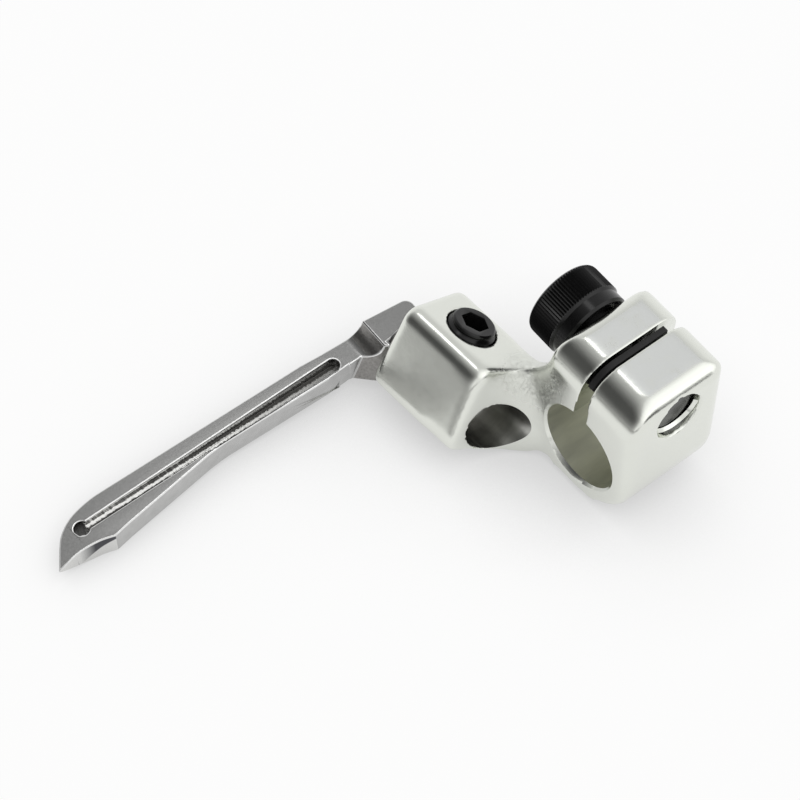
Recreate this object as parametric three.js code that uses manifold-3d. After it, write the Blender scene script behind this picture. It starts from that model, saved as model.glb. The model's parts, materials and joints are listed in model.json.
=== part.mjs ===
// Chain-stitch looper clamped in its holder: an aluminium clamp that grips a rocking shaft,
// a boss cast beside it, and a grooved steel looper held in the boss by a set screw.
//
// Millimetres, +Z up. While it is built, X runs along the clamp screw from its head to its tip,
// Y along the shaft bore towards the back, and Z up through the clamp's slot, with zero on the
// bore's axis at the clamp's front face. The finished group is then set with its lowest points
// on z = 0 and its box centred over the origin.

import * as THREE from 'three';
import { mergeVertices } from 'three/addons/utils/BufferGeometryUtils.js';
import Module from 'manifold-3d';

// Clamp
const shaftBoreRadius = 5.6;
const hubWall = 2.5;
const clampDepth = 14.4;
const jawRise = 8.2;          // jaw tops above the bore's top
const headJawReach = 6.9;     // bore axis to the shoulder on the screw head's side
const tipJawReach = 7.2;      // and to the one on the side that the screw's tip shows in
const jawFrontRadius = 4.2;
const jawBackRadius = 3.2;
const jawShoulderRadius = 2.4;
const clampFrontEdge = 1.0;   // rounding all round the front face
const clampBackEdge = 2.2;    // and all round the back one
const slotWidth = 1.7;        // where it opens into the bore
const slotTopWidth = 1.2;     // between the jaw tops, which the screw draws together
const slotShift = 0.6;        // slot's middle from the bore axis, towards the screw head
const boreChamfer = 0.28;

// Clamp screw, M6 with a socket head
const clampScrewRadius = 3.0;
const clampScrewRise = 3.6;   // screw axis above the bore's top
const headRadius = 5.0;
const headHeight = 6.0;
const headRim = 0.8;          // rounding of the head's outer edge
const headCollarHeight = 1.7; // plain band under the knurled one
const headCollarStep = 0.25;
const headSocketFlats = 5.0;
const headSocketDepth = 3.0;
const tipRecess = 0.9;        // screw tip below the jaw's face
const tipChamfer = 0.5;
const seatDepth = 0.35;       // spot face under the head

// Shim in the clamp's slot
const shimThickness = 0.8;
const shimInset = 0.35;       // its edge inside the jaws' rounded front and top
const shimBackShare = 0.8;    // how far back it reaches, as a share of the clamp's depth
const shimFootDrop = 3.7;     // its foot below the screw's axis
const shimSlant = THREE.MathUtils.degToRad(25);   // where its edge ends on the front rounding

// Boss and its two bores
const bossHeight = 11.9;      // across the set-screw face and the face opposite
const bossThickness = 10.8;
const bossEdgeRadius = 1.9;
const bossEndRadius = 1.1;
const bossLength = 14.4;
const bossGap = 1.1;          // hub side to the boss's inner end
const bossForward = 4.55;     // boss middle in front of the clamp's front face, at its outer end
const bossYaw = THREE.MathUtils.degToRad(3.8);
const bossRoll = THREE.MathUtils.degToRad(28.5);
const shankBoreShift = 2.2;   // shank bore below the boss's middle, away from the set screw

// Neck and its hollows, between the boss and the clamp
const coveWidth = 4.8;        // at the height of the shank bore
const coveLength = 8.6;
const coveReach = 4.95;       // bore axis to where the cove runs out on the front face
const coveLean = THREE.MathUtils.degToRad(10);
const coveReturn = THREE.MathUtils.degToRad(36);   // how far the curve comes round again in front
const coveSpread = 0.062;     // share that the cove widens by for each millimetre down
const coveNarrowest = 0.08;   // share that its width keeps at the top
const coveFlareShare = 0.1;   // the front face comes forward by this much of the drop below the bore
const saddleReach = 4.8;      // along the boss, from the jaw
const saddleRise = 5.2;       // up the jaw
const saddleRootRise = 3.8;   // its root lies lower, so that it ends inside the jaw's front edge
const saddleBendShare = 0.52; // where its curve turns, as a share of its reach
const saddleLength = 7.3;
const saddleLead = 3.2;       // its front end before the clamp's front face
const saddleRoot = 1.1;
const neckDepth = 3.6;        // back of the neck, behind the clamp's front face
const neckBackRadius = 3.4;
const neckFootRadius = 1.2;
const neckRise = 1.2;         // top of the neck's web above the bore axis
const neckFootRise = 0.9;     // its foot above the clamp's lowest line

// Set screw, M6
const setScrewRadius = 3.0;
const setScrewLength = 5.9;
const setScrewFlats = 3.0;
const setScrewSocketDepth = 2.4;
const setScrewChamfer = 0.55;
const setScrewPlace = 5.9;    // from the boss's outer end
const setScrewShift = 0.3;    // behind the boss's middle

// Looper
const shankRadius = 3.175;
const shankLength = 10.4;
const shankFlat = 0.45;
const shankChamfer = 0.5;
const bladeLength = 48.55;    // shank axis to the point
const bladeHeight = 3.55;
const bladeWidth = 5.7;       // across the belly, its widest place
const bladeSweep = THREE.MathUtils.degToRad(4.8);
const bladeDroop = THREE.MathUtils.degToRad(2.5);
const heelStep = 2.0;         // heel top above the blade's
const heelFront = 2.65;       // heel's top edge ahead of the shank axis
const heelBack = 3.6;
const heelReach = 3.0;        // groove line to the heel's face at the boss
const stepLength = 2.6;       // hollow step from the heel's top down to the blade
const stepBendShare = 0.25;
const eyeRadius = 0.9;
const eyeSetback = 5.05;      // eye to the point
const grooveStart = 7.5;
const grooveRootWidth = 1.7;
const grooveTipWidth = 1.0;
const grooveDepth = 1.6;
const underTipLength = 5.6;   // ground-away stretch under the point
const pointThickness = 0.3;

// Fits and facets
const screwClearance = 0.12;
const shankClearance = 0.12;
const seatClearance = 0.3;
const overrun = 1.0;          // how far a cutter or a root runs past a surface
const mergeGap = 0.0001;      // points nearer than this are one point
const roundSegments = 40;
const bendSegments = 8;
const hexSides = 6;

// Blade edges seen from above: shares of its length from the shank axis, and of its belly's width
// from the groove, away from the boss first
const farEdgeShares = [
  [0.175, -0.351], [0.239, -0.393], [0.367, -0.425], [0.494, -0.439], [0.642, -0.452],
  [0.782, -0.462], [0.842, -0.452], [0.899, -0.351], [0.940, -0.153], [0.966, 0.096], [1, 0.523],
];
const hollowEdgeShares = [[0.937, 0.418], [0.883, 0.440], [0.844, 0.535]];
const nearEdgeShares = [
  [0.791, 0.458], [0.682, 0.337], [0.585, 0.215], [0.534, 0.165], [0.478, 0.150],
  [0.337, 0.190], [0.201, 0.214],
];
const rootShare = 0.137;
const farRootShare = -0.307;
const nearRootShare = 0.188;
const heelTaperShare = -0.19;    // the heel's back corner, away from the boss

// Sizes that follow
const hubRadius = shaftBoreRadius + hubWall;
const jawTop = shaftBoreRadius + jawRise;
const floorZ = -hubRadius;
const screwY = clampDepth / 2;
const screwZ = shaftBoreRadius + clampScrewRise;
const slotX = -slotShift;
const eyeReach = bladeLength - eyeSetback;

const X = new THREE.Vector3(1, 0, 0);
const Y = new THREE.Vector3(0, 1, 0);
const Z = new THREE.Vector3(0, 0, 1);
const towardsHead = X.clone().negate();
const forward = Y.clone().negate();

// Boss axes: along the shank bore, out of the set-screw face, and from the front to the back
const alongBoss = X.clone().applyAxisAngle(Z, bossYaw);
const outOfBoss = Z.clone().applyAxisAngle(alongBoss, -bossRoll);
const throughBoss = outOfBoss.clone().cross(alongBoss);

// The boss rests on its lower back edge, level with the hub
const bossLowest = (bossHeight / 2 - bossEdgeRadius) * Math.cos(bossRoll)
  + (bossThickness / 2 - bossEdgeRadius) * Math.sin(bossRoll) + bossEdgeRadius;
const bossEndX = -hubRadius - bossGap - bossLength;
const bossEnd = new THREE.Vector3(bossEndX, -bossForward, floorZ + bossLowest);
const shankRoot = along(bossEnd, outOfBoss, -shankBoreShift);
const setScrewFoot = along(along(shankRoot, alongBoss, setScrewPlace), throughBoss, setScrewShift);

const wasm = await Module();
wasm.setup();

function along(origin, axis, distance) {
  return origin.clone().addScaledVector(axis, distance);
}

function solid(geometry) {
  const bare = geometry.clone();
  bare.deleteAttribute('normal');
  bare.deleteAttribute('uv');
  const merged = mergeVertices(bare, mergeGap);
  return new wasm.Manifold(new wasm.Mesh({
    numProp: 3,
    vertProperties: new Float32Array(merged.attributes.position.array),
    triVerts: new Uint32Array(merged.index.array),
  }));
}

function meshOf(name, body, look) {
  const { vertProperties, triVerts } = body.getMesh();
  const geometry = new THREE.BufferGeometry();
  geometry.setAttribute('position', new THREE.BufferAttribute(new Float32Array(vertProperties), 3));
  geometry.setIndex(new THREE.BufferAttribute(new Uint32Array(triVerts), 1));
  geometry.computeVertexNormals();
  const mesh = new THREE.Mesh(geometry, new THREE.MeshStandardMaterial(look));
  mesh.name = name;
  return mesh;
}

// An outline drawn on axes u and v at a point and pulled along their normal, or along the way
// given, with its rims rounded
function pulled(outline, depth, origin, u, v, rim = 0, way = new THREE.Vector3().crossVectors(u, v)) {
  const points = outline.getPoints(bendSegments);
  const next = (i) => points[(i + 1) % points.length];
  const apart = points.filter((point, i) => point.distanceTo(next(i)) > mergeGap);
  const geometry = new THREE.ExtrudeGeometry(new THREE.Shape(apart), {
    depth: depth - rim * 2, bevelEnabled: rim > 0, bevelSegments: bendSegments / 2,
    bevelSize: rim, bevelThickness: rim, bevelOffset: -rim,
  });
  const axes = new THREE.Matrix4().makeBasis(u, v, way);
  return solid(geometry.translate(0, 0, rim).applyMatrix4(axes.setPosition(origin)));
}

// A turned profile of [radius, distance along the axis] points
function turned(profile, origin, axis) {
  const points = profile.map(([radius, distance]) => new THREE.Vector2(radius, distance));
  const geometry = new THREE.LatheGeometry(points, roundSegments);
  geometry.applyQuaternion(new THREE.Quaternion().setFromUnitVectors(Y, axis));
  return solid(geometry.translate(origin.x, origin.y, origin.z));
}

function rod(radius, length, origin, axis) {
  return turned([[0, 0], [radius, 0], [radius, length], [0, length]], origin, axis);
}

// The solid through a stack of outlines, each with as many points and each above the last
function lofted(layers) {
  const count = layers[0].length;
  const first = layers[0].map(([x, y]) => new THREE.Vector2(x, y));
  const top = count * (layers.length - 1);
  const triangles = THREE.ShapeUtils.triangulateShape(first, [])
    .flatMap(([a, b, c]) => [[a, c, b], [a + top, b + top, c + top]]);
  for (let low = 0; low < top; low += count) {
    first.forEach((_, i) => {
      const next = (i + 1) % count;
      const high = low + count;
      triangles.push([low + i, low + next, high + next], [low + i, high + next, high + i]);
    });
  }
  return new wasm.Manifold(new wasm.Mesh({
    numProp: 3,
    vertProperties: new Float32Array(layers.flat(2)),
    triVerts: new Uint32Array(triangles.flat()),
  }));
}

function polygon(points) {
  return new THREE.Shape(points.map(([a, b]) => new THREE.Vector2(a, b)));
}

function roundedBox(halfA, halfB, radius) {
  const shape = new THREE.Shape();
  shape.absarc(halfA - radius, halfB - radius, radius, 0, Math.PI / 2);
  shape.absarc(-halfA + radius, halfB - radius, radius, Math.PI / 2, Math.PI);
  shape.absarc(-halfA + radius, -halfB + radius, radius, Math.PI, Math.PI * 1.5);
  shape.absarc(halfA - radius, -halfB + radius, radius, Math.PI * 1.5, Math.PI * 2);
  return shape;
}

// Hexagon socket: its mouth's middle, and two axes across it
function hexSocket(flats, depth, mouth, u, v) {
  const corner = flats / Math.sqrt(3);
  const corners = Array.from({ length: hexSides }, (_, i) => {
    const angle = i / hexSides * Math.PI * 2;
    return [corner * Math.cos(angle), corner * Math.sin(angle)];
  });
  const axis = new THREE.Vector3().crossVectors(u, v);
  return pulled(polygon(corners), depth + overrun, along(mouth, axis, -depth), u, v);
}

// Clamp block: its outline along the bore, with rounded rims, cut by its outline from the side
function clampBlock() {
  const shoulderZ = jawTop - jawShoulderRadius;
  const front = new THREE.Shape();
  front.moveTo(hubRadius, 0);
  front.absarc(tipJawReach - jawShoulderRadius, shoulderZ, jawShoulderRadius, 0, Math.PI / 2);
  front.absarc(-headJawReach + jawShoulderRadius, shoulderZ, jawShoulderRadius, Math.PI / 2, Math.PI);
  front.absarc(0, 0, hubRadius, Math.PI, Math.PI * 2);
  const longer = clampDepth + clampBackEdge;
  const frontRounded = pulled(front, longer, new THREE.Vector3(0, longer, 0), X, Z, clampFrontEdge);
  const backRounded = pulled(front, longer, new THREE.Vector3(0, clampDepth, 0), X, Z, clampBackEdge);

  const side = new THREE.Shape();
  side.moveTo(0, floorZ);
  side.lineTo(clampDepth, floorZ);
  side.absarc(clampDepth - jawBackRadius, jawTop - jawBackRadius, jawBackRadius, 0, Math.PI / 2);
  side.absarc(jawFrontRadius, jawTop - jawFrontRadius, jawFrontRadius, Math.PI / 2, Math.PI);
  const seenFromSide = pulled(side, hubRadius * 2, new THREE.Vector3(-hubRadius, 0, 0), Y, Z);
  return frontRounded.intersect(backRounded).intersect(seenFromSide);
}

// Boss: a rounded square bar, rolled about its length, that runs on into the clamp
function bossBar() {
  const section = roundedBox(bossThickness / 2, bossHeight / 2, bossEdgeRadius);
  const length = bossLength + bossGap + hubWall + bossEndRadius;
  return pulled(section, length, bossEnd, throughBoss, outOfBoss, bossEndRadius);
}

// Saddle: a hollow filler that sweeps up from the boss's top to the jaw. Its front end is cut off
// by the cove, and its root goes a little way into the jaw's rounded front edge.
function saddle() {
  const shape = new THREE.Shape();
  shape.moveTo(-saddleRoot, -saddleRoot);
  shape.lineTo(saddleReach, -saddleRoot);
  shape.lineTo(saddleReach, 0);
  shape.quadraticCurveTo(saddleReach * saddleBendShare, 0, 0, saddleRise);
  shape.lineTo(-saddleRoot, saddleRootRise);
  const corner = along(bossEnd, outOfBoss, bossHeight / 2);
  corner.addScaledVector(alongBoss, (-headJawReach - corner.x) / alongBoss.x);
  corner.addScaledVector(throughBoss, -(corner.y + saddleLead) / throughBoss.y);
  const towardsBoss = alongBoss.clone().negate();
  return pulled(shape, saddleLength, corner, towardsBoss, Z, 0, throughBoss);
}

// Web under the boss bar that joins it to the hub, seen from above, with a hollow back
function neckWeb() {
  const back = neckDepth + neckBackRadius;
  const shape = new THREE.Shape();
  const end = hubRadius / 2;
  shape.moveTo(end, -bossForward);
  shape.lineTo(end, back);
  shape.absarc(-hubRadius - neckBackRadius, back, neckBackRadius, 0, -Math.PI / 2, true);
  shape.lineTo(-coveReach - coveWidth - neckBackRadius, -bossForward);
  const foot = new THREE.Vector3(0, 0, floorZ + neckFootRise);
  return pulled(shape, neckRise - foot.z, foot, X, Y, neckFootRadius);
}

// Cutter that ends the boss and sweeps in a hollow curve into the clamp's front face, as part of
// a cone that widens downwards
function coveCutter() {
  const frontReach = bossForward + bossHeight + bossThickness;
  const shape = new THREE.Shape();
  shape.moveTo(hubRadius, -frontReach);
  shape.lineTo(hubRadius, 0);
  shape.absellipse(-coveReach, -coveLength, coveWidth, coveLength, Math.PI / 2, Math.PI + coveReturn);
  shape.lineTo(-coveReach, -frontReach);
  const points = shape.getPoints(bendSegments * 2);
  if (THREE.ShapeUtils.isClockWise(points)) points.reverse();
  const wall = -coveReach - coveWidth;
  const lowest = floorZ - overrun;
  const highest = jawTop + overrun;
  const layers = [];
  for (let i = 0; i <= bendSegments; i += 1) {
    const z = lowest + (highest - lowest) * i / bendSegments;
    const rise = z - shankRoot.z;
    const shifted = wall - Math.tan(coveLean) * rise;
    const spread = Math.max(1 - coveSpread * rise, coveNarrowest);
    const flare = Math.min(rise, 0) * coveFlareShare;
    layers.push(points.map((point) => {
      if (point.x === hubRadius) return [hubRadius, point.y, z];
      return [shifted + (point.x - wall) * spread, point.y + flare, z];
    }));
  }
  return lofted(layers);
}

// Shaft bore with a chamfer at each mouth
function shaftBore() {
  const flare = boreChamfer + overrun;
  return turned([
    [0, -overrun],
    [shaftBoreRadius + flare, -overrun],
    [shaftBoreRadius, boreChamfer],
    [shaftBoreRadius, clampDepth - boreChamfer],
    [shaftBoreRadius + flare, clampDepth + overrun],
    [0, clampDepth + overrun],
  ], new THREE.Vector3(), Y);
}

function clampSlot() {
  const slot = polygon([
    [slotX - slotWidth / 2, 0],
    [slotX + slotWidth / 2, 0],
    [slotX + slotWidth / 2, shaftBoreRadius],
    [slotX + slotTopWidth / 2, jawTop],
    [slotX + slotTopWidth / 2, jawTop + overrun],
    [slotX - slotTopWidth / 2, jawTop + overrun],
    [slotX - slotTopWidth / 2, jawTop],
    [slotX - slotWidth / 2, shaftBoreRadius],
  ]);
  return pulled(slot, clampDepth + overrun * 2, new THREE.Vector3(0, clampDepth + overrun, 0), X, Z);
}

function holder() {
  const casting = bossBar().add(saddle()).add(neckWeb()).subtract(coveCutter()).add(clampBlock());

  const outside = new THREE.Vector3(-hubRadius - overrun, screwY, screwZ);
  const clampScrewHole = rod(clampScrewRadius + screwClearance, (hubRadius + overrun) * 2, outside, X);
  const spotFace = rod(headRadius + seatClearance, seatX() - outside.x, outside, X);

  const shankStart = along(shankRoot, alongBoss, -overrun);
  const shankBore = rod(shankRadius + shankClearance, bossLength * 2, shankStart, alongBoss);
  const setScrewHole = rod(setScrewRadius + screwClearance, bossHeight, setScrewFoot, outOfBoss);
  return casting
    .subtract(shaftBore())
    .subtract(clampSlot())
    .subtract(clampScrewHole)
    .subtract(spotFace)
    .subtract(shankBore)
    .subtract(setScrewHole);
}

function seatX() {
  return -headJawReach + seatDepth;
}

function clampScrew() {
  const seat = new THREE.Vector3(seatX() - seatClearance, screwY, screwZ);
  const length = tipJawReach - tipRecess - seat.x;
  const collar = headRadius - headCollarStep;
  const rims = Array.from({ length: bendSegments / 2 + 1 }, (_, i) => {
    const angle = i / bendSegments * Math.PI;
    return [headRadius - headRim * (1 - Math.cos(angle)), headHeight - headRim * (1 - Math.sin(angle))];
  });
  const body = turned([
    [0, -length],
    [clampScrewRadius - tipChamfer, -length],
    [clampScrewRadius, tipChamfer - length],
    [clampScrewRadius, 0],
    [collar, 0],
    [collar, headCollarHeight],
    [headRadius, headCollarHeight + headCollarStep],
    ...rims,
    [0, headHeight],
  ], seat, towardsHead);
  const mouth = along(seat, towardsHead, headHeight);
  return body.subtract(hexSocket(headSocketFlats, headSocketDepth, mouth, Z, Y));
}

// Shim seen from the side: its edge follows the jaws' rounded front and top, inside them
function slotShim() {
  const top = jawTop - shimInset;
  const bend = jawFrontRadius - shimInset;
  const foot = screwZ - shimFootDrop;
  const shape = new THREE.Shape();
  const back = clampDepth * shimBackShare;
  shape.moveTo(jawFrontRadius, foot);
  shape.lineTo(back, foot);
  shape.lineTo(back, top);
  shape.absarc(jawFrontRadius, top - bend, bend, Math.PI / 2, Math.PI - shimSlant);
  const plate = pulled(shape, shimThickness, new THREE.Vector3(slotX - shimThickness / 2, 0, 0), Y, Z);
  const outside = new THREE.Vector3(-hubRadius, screwY, screwZ);
  return plate.subtract(rod(clampScrewRadius + seatClearance, hubRadius * 2, outside, X));
}

function setScrew() {
  const tip = along(setScrewFoot, outOfBoss, shankRadius - shankFlat + seatClearance);
  const body = turned([
    [0, 0],
    [setScrewRadius - setScrewChamfer, 0],
    [setScrewRadius, setScrewChamfer],
    [setScrewRadius, setScrewLength - setScrewChamfer],
    [setScrewRadius - setScrewChamfer, setScrewLength],
    [0, setScrewLength],
  ], tip, outOfBoss);
  const mouth = along(tip, outOfBoss, setScrewLength);
  const frontwards = throughBoss.clone().negate();
  return body.subtract(hexSocket(setScrewFlats, setScrewSocketDepth, mouth, frontwards, alongBoss));
}

// Seen from above: p forward from the shank axis to the point, q across towards the boss
function looperPlan() {
  const at = ([p, q]) => new THREE.Vector2(bladeLength * p, bladeWidth * q);
  const rootP = bladeLength * rootShare;
  const flareP = rootP - (heelReach - bladeWidth * nearRootShare);
  const shape = new THREE.Shape();
  shape.moveTo(-heelBack, bladeWidth * heelTaperShare);
  shape.lineTo(heelFront, bladeWidth * farRootShare);
  shape.splineThru(farEdgeShares.map(at));
  shape.splineThru(hollowEdgeShares.map(at));
  shape.splineThru(nearEdgeShares.map(at));
  shape.lineTo(rootP, bladeWidth * nearRootShare);
  shape.lineTo(flareP, heelReach);
  shape.lineTo(flareP, heelReach + overrun);
  shape.lineTo(-heelBack, heelReach + overrun);
  return shape;
}

// Blade and heel, level and with the groove line on x = 0, the underside at a given height
function levelBlade(under) {
  const restP = bladeLength - underTipLength;
  const top = under + bladeHeight;
  const heelTop = top + heelStep;
  const side = new THREE.Shape();
  side.moveTo(-heelBack, under);
  side.lineTo(restP, under);
  side.quadraticCurveTo(bladeLength - underTipLength / 2, under, bladeLength, top - pointThickness);
  side.lineTo(bladeLength, top);
  side.lineTo(heelFront + stepLength, top);
  side.quadraticCurveTo(heelFront + stepLength * stepBendShare, top, heelFront, heelTop);
  side.lineTo(-heelBack, heelTop);

  const below = new THREE.Vector3(0, 0, under - overrun);
  const seenFromAbove = pulled(looperPlan(), bladeHeight + heelStep + overrun * 2, below, forward, X);
  const reach = bladeWidth + heelReach;
  const seenFromSide = pulled(side, reach * 2, new THREE.Vector3(reach, 0, 0), forward, Z);

  const grooveEnd = grooveStart + grooveRootWidth / 2;
  const groove = new THREE.Shape();
  groove.moveTo(eyeReach, -grooveTipWidth / 2);
  groove.lineTo(eyeReach, grooveTipWidth / 2);
  groove.quadraticCurveTo(eyeReach / 2, grooveTipWidth / 2, grooveEnd, grooveRootWidth / 2);
  groove.absarc(grooveEnd, 0, grooveRootWidth / 2, Math.PI / 2, Math.PI * 1.5);
  groove.quadraticCurveTo(eyeReach / 2, -grooveTipWidth / 2, eyeReach, -grooveTipWidth / 2);
  const grooveFloor = new THREE.Vector3(0, 0, top - grooveDepth);
  const eyeFoot = new THREE.Vector3(0, -eyeReach, under - overrun);
  const eye = rod(eyeRadius, bladeHeight + overrun * 2, eyeFoot, Z);
  return seenFromAbove
    .intersect(seenFromSide)
    .subtract(pulled(groove, grooveDepth + overrun, grooveFloor, forward, X))
    .subtract(eye);
}

function shank() {
  const root = along(shankRoot, alongBoss, -seatClearance - overrun);
  const length = shankLength + seatClearance + overrun;
  const body = turned([
    [0, 0],
    [shankRadius, 0],
    [shankRadius, length - shankChamfer],
    [shankRadius - shankChamfer, length],
    [0, length],
  ], root, alongBoss);
  const flatSide = roundedBox(shankRadius, shankRadius, shankFlat);
  const flatStart = along(setScrewFoot, alongBoss, -setScrewRadius);
  const flatMiddle = along(flatStart, outOfBoss, shankRadius * 2 - shankFlat);
  return body.subtract(pulled(flatSide, shankLength, flatMiddle, throughBoss, outOfBoss));
}

// The blade droops until it rests on the floor, and its heel keeps clear of the boss's end
function looper() {
  const restP = bladeLength - underTipLength;
  const under = (floorZ - shankRoot.z + restP * Math.sin(bladeDroop)) / Math.cos(bladeDroop);
  const place = new THREE.Matrix4().makeRotationZ(bossYaw - bladeSweep)
    .multiply(new THREE.Matrix4().makeRotationX(bladeDroop))
    .setPosition(along(shankRoot, alongBoss, -seatClearance - heelReach));
  const heelFace = along(shankRoot, alongBoss, -seatClearance);
  const bossSide = pulled(roundedBox(bossHeight, bossHeight, bossEdgeRadius), bossLength, heelFace,
    throughBoss, outOfBoss);
  return levelBlade(under).transform(place.elements).subtract(bossSide).add(shank());
}

const aluminium = { color: 0xd9d9d2, roughness: 0.32, metalness: 1.0 };
const groundSteel = { color: 0x8f9092, roughness: 0.3, metalness: 1.0 };
const blackSteel = { color: 0x1b1b1c, roughness: 0.42, metalness: 0.6 };
const blackFibre = { color: 0x2a2a2b, roughness: 0.6, metalness: 0.0 };

const looperSet = new THREE.Group();
looperSet.add(
  meshOf('looper_holder', holder(), aluminium),
  meshOf('looper', looper(), groundSteel),
  meshOf('clamp_screw', clampScrew(), blackSteel),
  meshOf('set_screw', setScrew(), blackSteel),
  meshOf('slot_shim', slotShim(), blackFibre),
);

const bounds = new THREE.Box3().setFromObject(looperSet);
const middle = bounds.getCenter(new THREE.Vector3());
looperSet.position.set(-middle.x, -middle.y, -bounds.min.z);
looperSet.updateMatrixWorld(true);

export default looperSet;
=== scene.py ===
# Looks of a chain-stitch looper clamped in its holder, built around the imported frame.
# Metres, in the frame's own axes: +X along the clamp screw from its head to its tip, +Y along the
# shaft bore to the back, +Z up through the clamp's slot, with the part standing on z = 0.

import json
import math

import bpy
from mathutils import Matrix, Vector

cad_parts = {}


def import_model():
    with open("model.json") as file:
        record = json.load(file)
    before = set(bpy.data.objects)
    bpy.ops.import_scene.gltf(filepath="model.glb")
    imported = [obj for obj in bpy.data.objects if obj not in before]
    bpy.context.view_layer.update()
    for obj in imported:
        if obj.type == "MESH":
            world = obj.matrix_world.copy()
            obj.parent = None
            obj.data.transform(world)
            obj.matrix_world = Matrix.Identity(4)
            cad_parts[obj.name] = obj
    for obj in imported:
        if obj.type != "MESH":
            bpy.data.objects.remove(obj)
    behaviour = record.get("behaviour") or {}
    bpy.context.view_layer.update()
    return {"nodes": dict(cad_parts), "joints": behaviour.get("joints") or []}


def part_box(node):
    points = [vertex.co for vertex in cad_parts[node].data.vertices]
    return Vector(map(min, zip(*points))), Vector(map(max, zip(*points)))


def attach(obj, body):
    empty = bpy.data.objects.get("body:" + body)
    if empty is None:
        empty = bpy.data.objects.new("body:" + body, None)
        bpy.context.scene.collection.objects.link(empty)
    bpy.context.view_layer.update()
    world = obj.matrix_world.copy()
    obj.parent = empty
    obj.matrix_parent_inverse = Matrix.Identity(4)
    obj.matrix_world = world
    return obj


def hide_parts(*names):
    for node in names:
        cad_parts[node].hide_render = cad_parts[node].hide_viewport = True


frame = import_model()

MM = 0.001
X = Vector((1, 0, 0))
Y = Vector((0, 1, 0))
Z = Vector((0, 0, 1))

# Sizes that the solids are built to
HUB_RADIUS = 8.1 * MM
BORE_RADIUS = 5.6 * MM
BORE_CHAMFER = 0.28 * MM
CLAMP_DEPTH = 14.4 * MM
SLOT_MIDDLE = -0.6 * MM          # from the bore's axis, towards the screw head
SLOT_WIDTH = 1.7 * MM            # where it opens into the bore
SLOT_TOP_WIDTH = 1.2 * MM
JAW_RISE = 8.2 * MM              # jaw tops above the bore's top
SHANK_RADIUS = 3.175 * MM
HEAD_RADIUS = 5.0 * MM
HEAD_HEIGHT = 6.0 * MM
SCREW_RADIUS = 3.0 * MM
SET_SCREW_RISE = 8.925 * MM      # its top above the shank's axis
SET_SCREW_PLACE = 5.9 * MM       # along the boss, from its outer end
SET_SCREW_SHIFT = 0.3 * MM       # across the boss, from the shank's axis
BLADE_OUT = 3.3 * MM             # the blade's middle line, out from the boss's end
BLADE_TURN = -1.0                # degrees, from the frame's -Y
BLADE_DROOP = 2.5                # degrees below level

# Places along the blade, in mm ahead of the shank's axis
HEEL_END = 5.4
GROOVE_START = 9.0
CLEAR_OF_HEEL = 20.0
HOLLOW_START = 40.35
RAMP_END = 43.0
EYE_AHEAD = 43.5
GROOVE_END = 44.05

# Places that follow from the frame
holder_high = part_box("looper_holder")[1]
bore_mouth = Vector((holder_high.x - HUB_RADIUS, holder_high.y - CLAMP_DEPTH, HUB_RADIUS))
joints = {joint["name"]: joint for joint in frame["joints"]}
clamp_seat = Vector(joints["clamp_screw_turn"]["pos_m"])
set_foot = Vector(joints["set_screw_turn"]["pos_m"])
out_of_boss = Vector(joints["set_screw_turn"]["axis"]).normalized()
along_boss = -Vector(joints["looper_slide"]["axis"]).normalized()
through_boss = out_of_boss.cross(along_boss)
blade_turn = (Matrix.Rotation(math.radians(BLADE_TURN), 3, "Z")
              @ Matrix.Rotation(math.radians(BLADE_DROOP), 3, "X"))
blade_side, blade_ahead, blade_up = blade_turn.col[0], -blade_turn.col[1], blade_turn.col[2]
shank_root = set_foot - along_boss * SET_SCREW_PLACE - through_boss * SET_SCREW_SHIFT
blade_root = shank_root - along_boss * BLADE_OUT


# Selecting and shaping

def only(piece):
    """Makes a piece the only one that the next operator works on."""
    if bpy.context.object and bpy.context.object.mode != "OBJECT":
        bpy.ops.object.mode_set(mode="OBJECT")
    bpy.ops.object.select_all(action="DESELECT")
    piece.select_set(True)
    bpy.context.view_layer.objects.active = piece


def open_mesh(piece):
    """Puts a piece in edit mode with all of its mesh selected."""
    only(piece)
    bpy.ops.object.mode_set(mode="EDIT")
    bpy.ops.mesh.select_all(action="SELECT")


def open_corners(piece, is_chosen):
    """Puts a piece in edit mode with only the chosen vertices selected."""
    only(piece)
    for edge in piece.data.edges:
        edge.select = False
    for face in piece.data.polygons:
        face.select = False
    for vertex in piece.data.vertices:
        vertex.select = is_chosen(vertex)
    bpy.ops.object.mode_set(mode="EDIT")


def close_mesh():
    """Points every face outwards and leaves edit mode."""
    bpy.ops.mesh.select_all(action="SELECT")
    bpy.ops.mesh.normals_make_consistent(inside=False)
    bpy.ops.object.mode_set(mode="OBJECT")


def extrude_up(height):
    bpy.ops.mesh.extrude_region_move(TRANSFORM_OT_translate={"value": (0, 0, height)})


def settled(name, scale=(1, 1, 1)):
    """Names the primitive just added, and puts its place, turn and scale in its mesh."""
    piece = bpy.context.object
    piece.name = name
    piece.scale = scale
    only(piece)
    bpy.ops.object.transform_apply(location=True, rotation=True, scale=True)
    return piece


def copy_of(node, name):
    """A new object with a copy of a CAD node's mesh, its loose triangles merged."""
    weld = 0.0005 * MM
    piece = bpy.data.objects.new(name, frame["nodes"][node].data.copy())
    bpy.context.scene.collection.objects.link(piece)
    open_mesh(piece)
    bpy.ops.mesh.remove_doubles(threshold=weld)
    bpy.ops.object.mode_set(mode="OBJECT")
    piece.data.materials.clear()
    return piece


def apply_modifier(piece, kind, **settings):
    only(piece)
    modifier = piece.modifiers.new(kind, kind)
    for name, value in settings.items():
        setattr(modifier, name, value)
    bpy.ops.object.modifier_apply(modifier=modifier.name)


def cut_away(piece, cutter):
    apply_modifier(piece, "BOOLEAN", operation="DIFFERENCE", solver="EXACT", object=cutter)
    bpy.data.objects.remove(cutter)


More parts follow.
